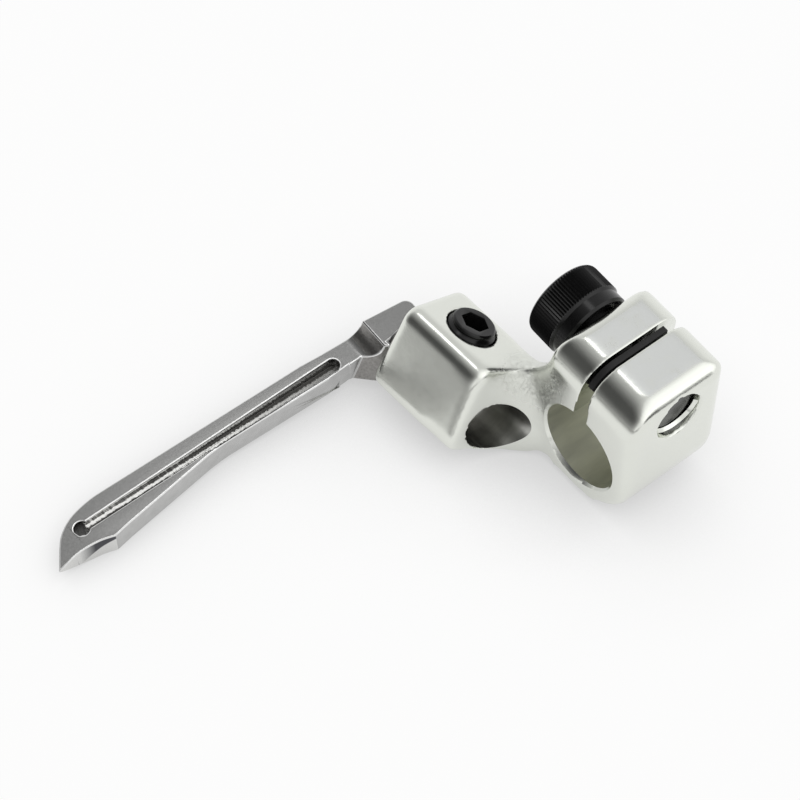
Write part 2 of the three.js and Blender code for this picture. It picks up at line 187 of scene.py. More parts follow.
def put_in(piece, filler):
    apply_modifier(piece, "BOOLEAN", operation="UNION", solver="EXACT", object=filler)
    bpy.data.objects.remove(filler)


def ramp(value, start, end):
    """How far a value has come from start to end, as a share."""
    return min(max((value - start) / (end - start), 0.0), 1.0)


def soften(piece, share_at, iterations):
    """Rounds a piece off where share_at, given a point in mm from the bore's mouth, is above 0."""
    group = piece.vertex_groups.new(name="softened")
    for vertex in piece.data.vertices:
        share = share_at((vertex.co - bore_mouth) / MM)
        if share > 0:
            group.add([vertex.index], share, "REPLACE")
    apply_modifier(piece, "SMOOTH", factor=0.5, iterations=iterations, vertex_group=group.name)
    piece.vertex_groups.clear()


def smooth_shade(piece, degrees):
    only(piece)
    bpy.ops.object.shade_smooth_by_angle(angle=math.radians(degrees))


def placed(piece, origin, axis):
    """Sets a piece modelled up +Z at a place, along an axis, and puts that in its mesh."""
    turn = axis.to_track_quat("Z", "Y").to_matrix().to_4x4()
    piece.matrix_world = Matrix.Translation(origin) @ turn
    only(piece)
    bpy.ops.object.transform_apply(location=True, rotation=True, scale=True)
    return piece


def turned(name, profile, sides):
    """A round piece up +Z: a disc at the first (radius, height), extruded to each that follows."""
    radius, height = profile[0]
    bpy.ops.object.select_all(action="DESELECT")
    bpy.ops.mesh.primitive_circle_add(vertices=sides, radius=radius, fill_type="NGON",
                                      location=(0, 0, height))
    piece = settled(name)
    open_mesh(piece)
    for next_radius, next_height in profile[1:]:
        extrude_up(next_height - height)
        share = next_radius / radius
        bpy.ops.transform.resize(value=(share, share, 1), center_override=(0, 0, next_height))
        radius, height = next_radius, next_height
    close_mesh()
    return piece


def finish_piece(piece, body, slot, *nodes):
    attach(piece, body)
    if nodes:
        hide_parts(*nodes)


# Colours and nodes

def colour(hex_code):
    """sRGB hex to linear red, green, blue and alpha."""
    shares = [int(hex_code[i:i + 2], 16) / 255 for i in (1, 3, 5)]
    linear = [s / 12.92 if s <= 0.04045 else ((s + 0.055) / 1.055) ** 2.4 for s in shares]
    return (*linear, 1.0)


def add(tree, kind, links=None, **settings):
    """Adds a node. Settings are its own properties, and links its sockets by name or number."""
    node = tree.nodes.new(kind)
    for name, value in settings.items():
        setattr(node, name, value)
    for name, value in (links or {}).items():
        socket = node.inputs[name]
        if isinstance(value, bpy.types.NodeSocket):
            tree.links.new(value, socket)
        else:
            socket.default_value = value
    return node


def new_material(name):
    made = bpy.data.materials.new(name)
    made.use_nodes = True
    made.node_tree.nodes.clear()
    return made, made.node_tree


def put_material(piece, *materials):
    piece.data.materials.clear()
    for made in materials:
        piece.data.materials.append(made)


# Materials

def tumbled_aluminium():
    """Die-cast aluminium, tumbled bright. The skin is smooth with a faint orange peel, wrinkled by
    the flowing metal round the neck, and the jaw tops are belt-ground: duller, cooler and scratched."""
    peel_size, grain_size, scratch_size, fold_size = 1.6 * MM, 0.14 * MM, 0.9 * MM, 0.55 * MM
    peel_depth, fine_depth, fold_depth = 0.05 * MM, 0.05 * MM, 0.022 * MM
    neck = bore_mouth + Vector((-8.0, 1.5, 4.2)) * MM
    wrinkled_to, wrinkles_end = 2.0 * MM, 6.5 * MM
    unworn_to, unworn_end = 3.0 * MM, 8.0 * MM

    made, tree = new_material("tumbled_die_cast_aluminium")
    place = add(tree, "ShaderNodeTexCoord").outputs["Object"]
    skin = add(tree, "ShaderNodeTexNoise", {"Vector": place, "Scale": 1 / peel_size,
                                           "Detail": 3.0, "Roughness": 0.6})
    grain = add(tree, "ShaderNodeTexNoise", {"Vector": place, "Scale": 1 / grain_size, "Detail": 2.0})

    flats = add(tree, "ShaderNodeAttribute", attribute_name="ground_flats").outputs["Fac"]
    patchy = add(tree, "ShaderNodeMapRange", {"Value": skin.outputs["Fac"], "From Min": 0.3,
                                              "From Max": 0.5, "To Min": 0.6, "To Max": 1.0})
    ground = add(tree, "ShaderNodeMath", {0: flats, 1: patchy.outputs[0]},
                 operation="MULTIPLY").outputs[0]
    strokes = add(tree, "ShaderNodeMapping", {"Vector": place, "Scale": (1.0, 9.0, 1.0)})
    scratches = add(tree, "ShaderNodeTexNoise", {"Vector": strokes.outputs[0], "Scale": 1 / scratch_size,
                                                "Detail": 4.0, "Roughness": 0.65})

    away = add(tree, "ShaderNodeVectorMath", {0: place, 1: neck}, operation="DISTANCE")
    wrinkled = add(tree, "ShaderNodeMapRange", {"Value": away.outputs["Value"], "From Min": wrinkled_to,
                                                "From Max": wrinkles_end, "To Min": 1.0, "To Max": 0.0})
    as_cast = add(tree, "ShaderNodeMapRange", {"Value": away.outputs["Value"], "From Min": unworn_to,
                                               "From Max": unworn_end, "To Min": 1.0, "To Max": 0.0})
    folds = add(tree, "ShaderNodeTexNoise", {"Vector": place, "Scale": 1 / fold_size, "Detail": 4.0,
                                            "Roughness": 0.7, "Distortion": 1.4})
    creases = add(tree, "ShaderNodeMapRange", {"Value": folds.outputs["Fac"], "From Min": 0.42,
                                               "From Max": 0.5})
    fine = add(tree, "ShaderNodeMix", {"Factor": ground, 2: grain.outputs["Fac"],
                                       3: scratches.outputs["Fac"]}, data_type="FLOAT")
    low = add(tree, "ShaderNodeBump", {"Height": skin.outputs["Fac"], "Strength": 0.16,
                                       "Distance": peel_depth})
    near = add(tree, "ShaderNodeBump", {"Height": fine.outputs[0], "Strength": 0.10,
                                        "Distance": fine_depth, "Normal": low.outputs[0]})
    bump = add(tree, "ShaderNodeBump", {"Height": creases.outputs[0], "Strength": wrinkled.outputs[0],
                                        "Distance": fold_depth, "Normal": near.outputs[0]})
    tone = add(tree, "ShaderNodeMix", {"Factor": ground, 6: colour("#E1E3DC"), 7: colour("#DDDFDD")},
               data_type="RGBA")
    shine = add(tree, "ShaderNodeMapRange", {"Value": skin.outputs["Fac"], "From Min": 0.3,
                                             "From Max": 0.7, "To Min": 0.13, "To Max": 0.20})
    dull = add(tree, "ShaderNodeMapRange", {"Value": scratches.outputs["Fac"], "From Min": 0.3,
                                            "From Max": 0.7, "To Min": 0.30, "To Max": 0.48})
    unworn = add(tree, "ShaderNodeMix", {"Factor": as_cast.outputs[0], 2: shine.outputs[0], 3: 0.33},
                 data_type="FLOAT")
    rough = add(tree, "ShaderNodeMix", {"Factor": ground, 2: unworn.outputs[0], 3: dull.outputs[0]},
                data_type="FLOAT")
    shader = add(tree, "ShaderNodeBsdfPrincipled", {
        "Base Color": tone.outputs[2], "Metallic": 1.0, "Roughness": rough.outputs[0],
        "Normal": bump.outputs[0]})
    add(tree, "ShaderNodeOutputMaterial", {"Surface": shader.outputs[0]})
    return made


def reamed_bore():
    """The same aluminium, reamed: fine rings round the bore, matt, with a darker rubbed stain."""
    ring_size, ring_depth, stain_size = 1.6 * MM, 0.03 * MM, 3.0 * MM
    made, tree = new_material("reamed_aluminium_bore")
    place = add(tree, "ShaderNodeTexCoord").outputs["Object"]
    stretched = add(tree, "ShaderNodeMapping", {"Vector": place, "Scale": (1, 14, 1)})
    rings = add(tree, "ShaderNodeTexNoise", {"Vector": stretched.outputs[0], "Scale": 1 / ring_size,
                                            "Detail": 3.0})
    drawn = add(tree, "ShaderNodeMapping", {"Vector": place, "Scale": (1, 0.25, 1)})
    stain = add(tree, "ShaderNodeTexNoise", {"Vector": drawn.outputs[0], "Scale": 1 / stain_size,
                                            "Detail": 4.0})
    tone = add(tree, "ShaderNodeMapRange", {"Value": stain.outputs["Fac"], "From Min": 0.35,
                                            "From Max": 0.65})
    paint = add(tree, "ShaderNodeMix", {"Factor": tone.outputs[0], 6: colour("#B4B5A8"),
                                        7: colour("#D8D9C8")}, data_type="RGBA")
    bump = add(tree, "ShaderNodeBump", {"Height": rings.outputs["Fac"], "Strength": 0.25,
                                        "Distance": ring_depth})
    shader = add(tree, "ShaderNodeBsdfPrincipled", {
        "Base Color": paint.outputs[2], "Metallic": 0.6, "Roughness": 0.45, "Normal": bump.outputs[0]})
    add(tree, "ShaderNodeOutputMaterial", {"Surface": shader.outputs[0]})
    return made


def drilled_bore():
    """Aluminium as drilled, in the shank's bore, painted darker than the body as the shade inside the
    bore.
    """
    bore_streak_size = 5.0 * MM
    made, tree = new_material("drilled_aluminium_bore")
    place = add(tree, "ShaderNodeTexCoord").outputs["Object"]
    drawn = add(tree, "ShaderNodeMapping", {"Vector": place, "Scale": (6, 1, 1)})
    bore_streaks = add(tree, "ShaderNodeTexNoise", {"Vector": drawn.outputs[0], "Scale": 1 / bore_streak_size,
                                            "Detail": 2.0})
    # Painted shade: both tones are darker than the body's, for the shade inside the bore.
    tone = add(tree, "ShaderNodeMix", {"Factor": bore_streaks.outputs["Fac"], 6: colour("#A4A4A0"),
                                       7: colour("#CECEC9")}, data_type="RGBA")
    shader = add(tree, "ShaderNodeBsdfPrincipled", {
        "Base Color": tone.outputs[2], "Metallic": 1.0, "Roughness": 0.28})
    add(tree, "ShaderNodeOutputMaterial", {"Surface": shader.outputs[0]})
    return made


def ground_steel():
    """Hardened steel, surface ground: mid grey, with faint lines along the blade and small pits."""
    line_size, pit_size, depth = 2.4 * MM, 0.25 * MM, 0.02 * MM
    made, tree = new_material("ground_looper_steel")
    place = add(tree, "ShaderNodeTexCoord").outputs["Object"]
    stretched = add(tree, "ShaderNodeMapping", {"Vector": place, "Scale": (18, 1, 18)})
    lines = add(tree, "ShaderNodeTexNoise", {"Vector": stretched.outputs[0], "Scale": 1 / line_size,
                                            "Detail": 3.0})
    pits = add(tree, "ShaderNodeTexNoise", {"Vector": place, "Scale": 1 / pit_size, "Detail": 3.0,
                                           "Roughness": 0.7})
    tone = add(tree, "ShaderNodeMix", {"Factor": pits.outputs["Fac"], 6: colour("#767675"),
                                       7: colour("#949493")}, data_type="RGBA")
    fine = add(tree, "ShaderNodeBump", {"Height": lines.outputs["Fac"], "Strength": 0.12,
                                        "Distance": depth})
    bump = add(tree, "ShaderNodeBump", {"Height": pits.outputs["Fac"], "Strength": 0.12,
                                        "Distance": depth, "Normal": fine.outputs[0]})
    shader = add(tree, "ShaderNodeBsdfPrincipled", {
        "Base Color": tone.outputs[2], "Metallic": 1.0, "Roughness": 0.25, "Normal": bump.outputs[0]})
    add(tree, "ShaderNodeOutputMaterial", {"Surface": shader.outputs[0]})
    return made


def polished_steel():
    """The blade's sides, polished so that the thread runs over them freely."""
    wear_size = 1.2 * MM
    made, tree = new_material("polished_looper_steel")
    place = add(tree, "ShaderNodeTexCoord").outputs["Object"]
    wear = add(tree, "ShaderNodeTexNoise", {"Vector": place, "Scale": 1 / wear_size, "Detail": 4.0})
    tone = add(tree, "ShaderNodeMix", {"Factor": wear.outputs["Fac"], 6: colour("#AEAEAD"),
                                       7: colour("#CACAC9")}, data_type="RGBA")
    rough = add(tree, "ShaderNodeMapRange", {"Value": wear.outputs["Fac"], "From Min": 0.3,
                                             "From Max": 0.7, "To Min": 0.12, "To Max": 0.22})
    shader = add(tree, "ShaderNodeBsdfPrincipled", {
        "Base Color": tone.outputs[2], "Metallic": 1.0, "Roughness": rough.outputs[0]})
    add(tree, "ShaderNodeOutputMaterial", {"Surface": shader.outputs[0]})
    return made


def rough_steel():
    """Steel as milled and never polished, at the heel's step and side: coarse, with dark chatter."""
    chatter_size, chatter_depth = 0.35 * MM, 0.08 * MM
    made, tree = new_material("rough_milled_steel")
    place = add(tree, "ShaderNodeTexCoord").outputs["Object"]
    chatter = add(tree, "ShaderNodeTexNoise", {"Vector": place, "Scale": 1 / chatter_size, "Detail": 5.0,
                                              "Roughness": 0.7})
    tone = add(tree, "ShaderNodeMix", {"Factor": chatter.outputs["Fac"], 6: colour("#5E5C5A"),
                                       7: colour("#B2B0AD")}, data_type="RGBA")
    bump = add(tree, "ShaderNodeBump", {"Height": chatter.outputs["Fac"], "Strength": 0.6,
                                        "Distance": chatter_depth})
    shader = add(tree, "ShaderNodeBsdfPrincipled", {
        "Base Color": tone.outputs[2], "Metallic": 1.0, "Roughness": 0.3, "Normal": bump.outputs[0]})
    add(tree, "ShaderNodeOutputMaterial", {"Surface": shader.outputs[0]})
    return made


def groove_floor():
    """The thread groove's floor, which also lines the eye: rough, painted dark as the shade in the groove
    and the eye, with a bright line along its middle, partly rubbed by the thread and partly a painted
    highlight.
    """
    rub_size, rub_depth, rub_spread = 0.3 * MM, 0.09 * MM, 0.8 * MM
    bright_to, bright_end = 0.54 * MM, 0.66 * MM
    fully_worn = 24 * MM
    thread_aside = 0.14 * MM         # from the blade's middle, away from the boss
    thread_line = blade_root.dot(blade_side) - thread_aside
    start = blade_root.dot(blade_ahead)

    made, tree = new_material("milled_groove_floor")
    place = add(tree, "ShaderNodeTexCoord").outputs["Object"]
    across = add(tree, "ShaderNodeVectorMath", {0: place, 1: blade_side}, operation="DOT_PRODUCT")
    off_line = add(tree, "ShaderNodeMath", {0: across.outputs["Value"], 1: thread_line},
                   operation="SUBTRACT")
    offset = add(tree, "ShaderNodeMath", {0: off_line.outputs[0]}, operation="ABSOLUTE")
    rubs = add(tree, "ShaderNodeTexNoise", {"Vector": place, "Scale": 1 / rub_size, "Detail": 4.0,
                                           "Roughness": 0.7})
    uneven = add(tree, "ShaderNodeMath", {0: rubs.outputs["Fac"], 1: rub_spread}, operation="MULTIPLY")
    reach = add(tree, "ShaderNodeMath", {0: offset.outputs[0], 1: uneven.outputs[0]}, operation="ADD")
    rubbed = add(tree, "ShaderNodeMapRange", {"Value": reach.outputs[0], "From Min": bright_to,
                                              "From Max": bright_end, "To Min": 1.0, "To Max": 0.0})
    along = add(tree, "ShaderNodeVectorMath", {0: place, 1: blade_ahead}, operation="DOT_PRODUCT")
    worn = add(tree, "ShaderNodeMapRange", {
        "Value": along.outputs["Value"], "From Min": start + GROOVE_START * MM,
        "From Max": start + fully_worn, "To Min": 0.25, "To Max": 1.0})
    bright = add(tree, "ShaderNodeMath", {0: rubbed.outputs[0], 1: worn.outputs[0]},
                 operation="MULTIPLY")
    # Painted shade: the dark tone stands for the shade in the groove and the eye; the bright line is
    # partly a painted highlight, and shows as painted glints in the eye.
    tone = add(tree, "ShaderNodeMix", {"Factor": bright.outputs[0], 6: colour("#4E4D4B"),
                                       7: colour("#FFFFFC")}, data_type="RGBA")
    bump = add(tree, "ShaderNodeBump", {"Height": rubs.outputs["Fac"], "Strength": 0.8,
                                        "Distance": rub_depth})
    shader = add(tree, "ShaderNodeBsdfPrincipled", {
        "Base Color": tone.outputs[2], "Metallic": 1.0, "Roughness": 0.3, "Normal": bump.outputs[0]})
    add(tree, "ShaderNodeOutputMaterial", {"Surface": shader.outputs[0]})
    return made


def hollow_ground_steel():
    """The hollow that the wheel grinds along the point. Above the wheel's edge, which climbs the blade's
    side towards the heel, a facet that the mesh lacks is painted dark as painted shade and reflection,
    fading out towards the point; at the point and below the edge the steel is bright."""
    edge_climb = 0.47
    edge_blur = 0.15 * MM
    edge = blade_point(40.7, 0, -0.5)
    edge_level = edge.dot(blade_up) + edge.dot(blade_ahead) * edge_climb
    dark_to, dark_end = 43.4 * MM, 45.4 * MM
    line_size = 0.3 * MM
    start = blade_root.dot(blade_ahead)

    made, tree = new_material("hollow_ground_steel")
    place = add(tree, "ShaderNodeTexCoord").outputs["Object"]
    along = add(tree, "ShaderNodeVectorMath", {0: place, 1: blade_ahead}, operation="DOT_PRODUCT")
    height = add(tree, "ShaderNodeVectorMath", {0: place, 1: blade_up}, operation="DOT_PRODUCT")
    level = add(tree, "ShaderNodeMath", {0: along.outputs["Value"], 1: edge_climb,
                                         2: height.outputs["Value"]}, operation="MULTIPLY_ADD")
    hollow = add(tree, "ShaderNodeMapRange", {"Value": level.outputs[0], "From Min": edge_level,
                                              "From Max": edge_level + edge_blur})
    facet_shade_fade = add(tree, "ShaderNodeMapRange", {"Value": along.outputs["Value"],
                                            "From Min": start + dark_to, "From Max": start + dark_end,
                                            "To Min": 1.0, "To Max": 0.0})
    # Painted shade: above the wheel's edge and back from the point the steel is painted dark, for a facet
    # that the mesh lacks.
    dark = add(tree, "ShaderNodeMath", {0: hollow.outputs[0], 1: facet_shade_fade.outputs[0]}, operation="MULTIPLY")
    tone = add(tree, "ShaderNodeMix", {"Factor": dark.outputs[0], 6: colour("#DCDCDA"),
                                       7: colour("#3C3D42")}, data_type="RGBA")
    lines = add(tree, "ShaderNodeTexNoise", {"Vector": place, "Scale": 1 / line_size, "Detail": 3.0})
    rough = add(tree, "ShaderNodeMapRange", {"Value": lines.outputs["Fac"], "From Min": 0.3,
                                             "From Max": 0.7, "To Min": 0.12, "To Max": 0.2})
    shader = add(tree, "ShaderNodeBsdfPrincipled", {
        "Base Color": tone.outputs[2], "Metallic": 1.0, "Roughness": rough.outputs[0]})
    add(tree, "ShaderNodeOutputMaterial", {"Surface": shader.outputs[0]})
    return made


def burnished_edge():
    """The blade's broken corners, rubbed bright and painted paler still as a painted highlight along the
    edges, with small nicks.
    """
    nick_size = 0.4 * MM
    made, tree = new_material("burnished_steel_edge")
    place = add(tree, "ShaderNodeTexCoord").outputs["Object"]
    nicks = add(tree, "ShaderNodeTexNoise", {"Vector": place, "Scale": 1 / nick_size, "Detail": 2.0})
    # Partly painted highlight: these tones are paler than the polished sides'.
    tone = add(tree, "ShaderNodeMix", {"Factor": nicks.outputs["Fac"], 6: colour("#CFCFCE"),
                                       7: colour("#F2F2F1")}, data_type="RGBA")
    shader = add(tree, "ShaderNodeBsdfPrincipled", {
        "Base Color": tone.outputs[2], "Metallic": 1.0, "Roughness": 0.14})
    add(tree, "ShaderNodeOutputMaterial", {"Surface": shader.outputs[0]})
    return made


def black_oxide():
    """Alloy steel screws with a black oxide finish: nearly black, with an oily sheen."""
    mottle_size, mottle_depth = 0.5 * MM, 0.02 * MM
    made, tree = new_material("black_oxide_steel")
    place = add(tree, "ShaderNodeTexCoord").outputs["Object"]
    mottle = add(tree, "ShaderNodeTexNoise", {"Vector": place, "Scale": 1 / mottle_size, "Detail": 3.0})
    tone = add(tree, "ShaderNodeMix", {"Factor": mottle.outputs["Fac"], 6: colour("#070707"),
                                       7: colour("#141414")}, data_type="RGBA")
    bump = add(tree, "ShaderNodeBump", {"Height": mottle.outputs["Fac"], "Strength": 0.15,
                                        "Distance": mottle_depth})
    shader = add(tree, "ShaderNodeBsdfPrincipled", {
        "Base Color": tone.outputs[2], "Roughness": 0.2, "Specular IOR Level": 0.34,
        "Normal": bump.outputs[0]})
    add(tree, "ShaderNodeOutputMaterial", {"Surface": shader.outputs[0]})
    return made


def black_fibre():
    """Vulcanised fibre shim: dull and black."""
    fibre_size = 0.3 * MM
    made, tree = new_material("black_vulcanised_fibre")
    place = add(tree, "ShaderNodeTexCoord").outputs["Object"]
    fibres = add(tree, "ShaderNodeTexNoise", {"Vector": place, "Scale": 1 / fibre_size, "Detail": 2.0})
    tone = add(tree, "ShaderNodeMix", {"Factor": fibres.outputs["Fac"], 6: colour("#0C0C0C"),
                                       7: colour("#1A1A1A")}, data_type="RGBA")
    shader = add(tree, "ShaderNodeBsdfPrincipled", {"Base Color": tone.outputs[2],
                                                    "Roughness": 0.6})
    add(tree, "ShaderNodeOutputMaterial", {"Surface": shader.outputs[0]})
    return made


# Pieces

def beside_shank(point):
    """How far a point in mm is from the shank's axis."""
    away = point - (set_foot - bore_mouth) / MM
    return (away - along_boss * away.dot(along_boss)).length


def neck_share(point):
    """The neck, saddle and end of the boss, but not the rim of the shank's bore. Low down, the
    neck's foot runs on to the hub."""
    foot_reach = 3.0
    foot = ramp(point.z, -2.0, -4.5)
    inside_boss_end = ramp(point.x, -15.0, -13.0)
    off_hub = ramp(point.x - foot * foot_reach, -5.9, -6.9)
    off_bore = ramp(beside_shank(point), 3.6, 4.6)
    return inside_boss_end * off_hub * off_bore


def corner_share(point):
    """The clamp's front corner on the side that the screw's tip shows in."""
    outer = ramp(point.x, 4.2, 5.6)
    front = ramp(point.y, 4.0, 3.0)
    upper = ramp(point.z, -3.0, 1.0)
    return outer * front * upper


def slot_wedge(name, spare, rise, depth):
    """A wedge as wide as the slot and some to spare, from inside the bore to a rise above it."""
    middle = bore_mouth + Vector((SLOT_MIDDLE, CLAMP_DEPTH / 2, BORE_RADIUS))
    sunk = 2.0 * MM
    taper = (SLOT_TOP_WIDTH - SLOT_WIDTH) / JAW_RISE
    bottom = SLOT_WIDTH - taper * sunk + spare
    bpy.ops.object.select_all(action="DESELECT")
    bpy.ops.mesh.primitive_plane_add(size=1, location=middle - Z * sunk)
    wedge = settled(name, (bottom, depth, 1))
    open_mesh(wedge)
    extrude_up(rise + sunk)
    narrowed = (bottom + taper * (rise + sunk)) / bottom
    bpy.ops.transform.resize(value=(narrowed, 1, 1), center_override=middle)
    close_mesh()
    return wedge


def casting():
    """The holder, its edges and hollows run together as cast, then its shaft bore reamed, the
    shank's bore drilled and the slot sawn, which leaves them crisp."""
    voxel, plug_spare = 0.2 * MM, 0.4 * MM
    flare = 0.5 * MM                 # how far the cutters run past the clamp's end faces
    drill_radius = SHANK_RADIUS + 0.24 * MM
    drill_out, drill_in = 8.0 * MM, 16.0 * MM
    saw_spare, saw_rise = 0.24 * MM, JAW_RISE + 1.0 * MM
    mouth_spare, mouth_rise = 0.5 * MM, JAW_RISE * 0.28
    jaw_top = bore_mouth.z + BORE_RADIUS + JAW_RISE
    jaw_rim = 0.5 * MM

    piece = copy_of("looper_holder", "holder_casting")
    plug_radius = BORE_RADIUS + plug_spare
    plug = turned("plug", [(plug_radius, 0), (plug_radius, CLAMP_DEPTH)], 64)
    put_in(piece, placed(plug, bore_mouth, Y))
    apply_modifier(piece, "REMESH", mode="VOXEL", voxel_size=voxel)
    apply_modifier(piece, "SMOOTH", factor=0.5, iterations=12)
    soften(piece, neck_share, 140)
    soften(piece, corner_share, 120)

    profile = [
        (BORE_RADIUS + BORE_CHAMFER + flare, -flare),
        (BORE_RADIUS, BORE_CHAMFER),
        (BORE_RADIUS, CLAMP_DEPTH - BORE_CHAMFER),
        (BORE_RADIUS + BORE_CHAMFER + flare, CLAMP_DEPTH + flare),
    ]
    cut_away(piece, placed(turned("reamer", profile, 160), bore_mouth, Y))
    drill = turned("drill", [(drill_radius, -drill_out), (drill_radius, drill_in)], 96)
    cut_away(piece, placed(drill, set_foot, along_boss))
    cut_away(piece, slot_wedge("saw", saw_spare, saw_rise, CLAMP_DEPTH + 2 * flare))
    cut_away(piece, slot_wedge("slot_mouth", mouth_spare, mouth_rise, CLAMP_DEPTH + 2 * flare))

    smooth_shade(piece, 32)
    flats = piece.data.attributes.new("ground_flats", "FLOAT", "POINT")
    for vertex, flat in zip(piece.data.vertices, flats.data):
        if vertex.co.z > jaw_top - jaw_rim:
            flat.value = ramp(vertex.normal.z, 0.985, 0.997)

    put_material(piece, tumbled_aluminium(), reamed_bore(), drilled_bore())
    as_reamed, as_drilled = 1, 2
    drilled_to = drill_radius / MM + 0.01
    for face in piece.data.polygons:
        spoke = face.center - bore_mouth
        spoke.y = 0
        corners = [(piece.data.vertices[i].co - bore_mouth) / MM for i in face.vertices]
        if spoke.length < BORE_RADIUS * 1.003 and abs(face.normal.y) < 0.3:
            face.material_index = as_reamed
        # The shank's bore gets the drilled tone, painted darker as shade.
        elif spoke.x < 0 and max(map(beside_shank, corners)) < drilled_to:
            face.material_index = as_drilled
    finish_piece(piece, "holder", "holder_aluminium", "looper_holder")


def hole_thread():
    """The crest of the M6 thread in the tapped jaw, seen outside the screw's tip: a triangle wound
    round the screw's axis. In a circle of radius 1 it is 1.5 high and the root of 3 broad."""
    pitch, turns = 1.0 * MM, 1
    root, crest = 3.13 * MM, 2.8 * MM
    ridge = 0.84 * pitch
    weld = 0.001 * MM
    depth, breadth = (root - crest) / 1.5, ridge / math.sqrt(3)
    end = holder_high.x - 1.5 * MM
    bpy.ops.object.select_all(action="DESELECT")
    bpy.ops.mesh.primitive_circle_add(vertices=3, radius=1, rotation=(math.pi / 2, -math.pi / 2, 0),
                                      location=(root - depth / 2, 0, 0))
    piece = settled("tapped_hole_thread", (breadth, depth, 1))
    apply_modifier(piece, "SCREW", axis="Z", angle=math.tau, steps=72, render_steps=72,
                   screw_offset=pitch, iterations=turns)
    open_mesh(piece)
    bpy.ops.mesh.remove_doubles(threshold=weld)
    bpy.ops.mesh.fill_holes(sides=4)
    close_mesh()
    placed(piece, Vector((end, clamp_seat.y, clamp_seat.z)) - X * pitch * turns, X)
    smooth_shade(piece, 30)
    put_material(piece, tumbled_aluminium())
    finish_piece(piece, "holder", "holder_aluminium")


def in_blade(point):
    """A place in the blade's own terms, in mm: ahead of the shank, towards the boss, and up."""
    away = (point - blade_root) / MM
    return away.dot(blade_ahead), away.dot(blade_side), away.dot(blade_up)


def blade_point(ahead, side, up):
    """The place that in_blade gives as these three."""
    return blade_root + (blade_ahead * ahead + blade_side * side + blade_up * up) * MM


def blade_top(piece):
    """How far up the blade's flat top is, in the blade's own terms."""
    places = [in_blade(vertex.co) for vertex in piece.data.vertices]
    return max(up for ahead, side, up in places if ahead > CLEAR_OF_HEEL)


def groove_ramp(piece):
    """A filler that raises the groove's floor from its full depth at the heel to shallow at the
    eye, built along -Y with the shank's axis at the origin and then put in the blade."""
    depth, thickness, rise = 1.9 * MM, 0.25 * MM, 1.15 * MM
    width, end_share = 1.85, 0.64
    length = RAMP_END - GROOVE_START
    middle = (GROOVE_START + RAMP_END) / 2
    bottom = blade_top(piece) * MM - depth
    near_eye = -RAMP_END * 0.9 * MM
    bpy.ops.object.select_all(action="DESELECT")
    bpy.ops.mesh.primitive_plane_add(size=MM, location=(0, -middle * MM, bottom))
    filler = settled("groove_ramp", (width, length, 1))
    open_mesh(filler)
    extrude_up(thickness)
    open_corners(filler, lambda vertex: vertex.co.y < near_eye and vertex.co.z > bottom + thickness / 2)
    bpy.ops.transform.translate(value=(0, 0, rise))
    open_corners(filler, lambda vertex: vertex.co.y < near_eye)
    bpy.ops.transform.resize(value=(end_share, 1, 1), center_override=(0, 0, 0))
    close_mesh()
    filler.matrix_world = Matrix.Translation(blade_root) @ blade_turn.to_4x4()
    only(filler)
    bpy.ops.object.transform_apply(location=True, rotation=True, scale=True)
    return filler


def flank_cutter():
    """A wedge that leans the heel's flank in, from the blade's corner up to the heel's. Its cutting
    face looks ahead and to the side, and a little up."""
    lean = (blade_ahead * 0.677 + blade_side * 0.677 + blade_up * 0.287).normalized()
    corner = blade_point(5.0, 1.0, 0.24)
    breadth, thickness = 8 * MM, 1.6 * MM
    clear_of_blade = 0.14 * MM
    bpy.ops.object.select_all(action="DESELECT")
    bpy.ops.mesh.primitive_cube_add(size=breadth, scale=(1, 1, thickness / breadth))
    wedge = placed(bpy.context.object, corner + lean * thickness / 2, lean)
    open_mesh(wedge)
    bpy.ops.mesh.bisect(plane_co=corner + blade_side * clear_of_blade, plane_no=blade_side,
                        use_fill=True, clear_inner=True)
    close_mesh()
    return wedge


def round_heel(piece):
    """Rounds the upright back corner of the heel, away from the boss."""
    back, far_side = -3.4, -0.8
    rounding = 1.0 * MM
    only(piece)
    bpy.ops.object.mode_set(mode="EDIT")
    bpy.ops.mesh.select_mode(type="EDGE")
    bpy.ops.mesh.select_all(action="DESELECT")
    bpy.ops.object.mode_set(mode="OBJECT")
    for edge in piece.data.edges:
        ends = [in_blade(piece.data.vertices[i].co) for i in edge.vertices]
        edge.select = all(ahead < back and side < far_side for ahead, side, up in ends)
    bpy.ops.object.mode_set(mode="EDIT")
    bpy.ops.mesh.bevel(offset=rounding, segments=6, affect="EDGES")
    bpy.ops.mesh.select_mode(type="VERT")
    bpy.ops.object.mode_set(mode="OBJECT")


# The looper's steels, as its material slots are numbered
GROUND, POLISHED, ROUGH, GROOVE, BURNISHED, HOLLOW = range(6)


def steel_at(face, top):
    """Which steel a face of the looper shows, from its place and the way it looks."""
    ahead, side, up = in_blade(face.center)
    level = face.normal.dot(blade_up)
    sideways = face.normal.dot(blade_side)
    eye_radius, lip, groove_depth, hollow_side = 1.0, 0.3, 2.2, 1.2

    in_eye = math.hypot(ahead - EYE_AHEAD, side) < eye_radius and abs(level) < 0.3
    in_groove = level > 0.9 and lip < top - up < groove_depth and ahead < GROOVE_END
    # The eye's walls take the groove floor's dark tone as painted shade, and its bright line as painted
    # glints.
    if in_eye or in_groove:
        return GROOVE
    if face.material_index == BURNISHED:
        on_heel = ahead < GROOVE_START and level < 0.4 and sideways > 0.3
        return POLISHED if on_heel else BURNISHED
    if ahead < HEEL_END and level < 0.97 and sideways > -0.7:
        return ROUGH
    # Near the point, the side above the wheel's edge is painted dark in this steel, as painted shade.
    if ahead > HOLLOW_START and sideways > 0.9 and side > hollow_side:
        return HOLLOW
    return POLISHED if level < 0.97 else GROUND


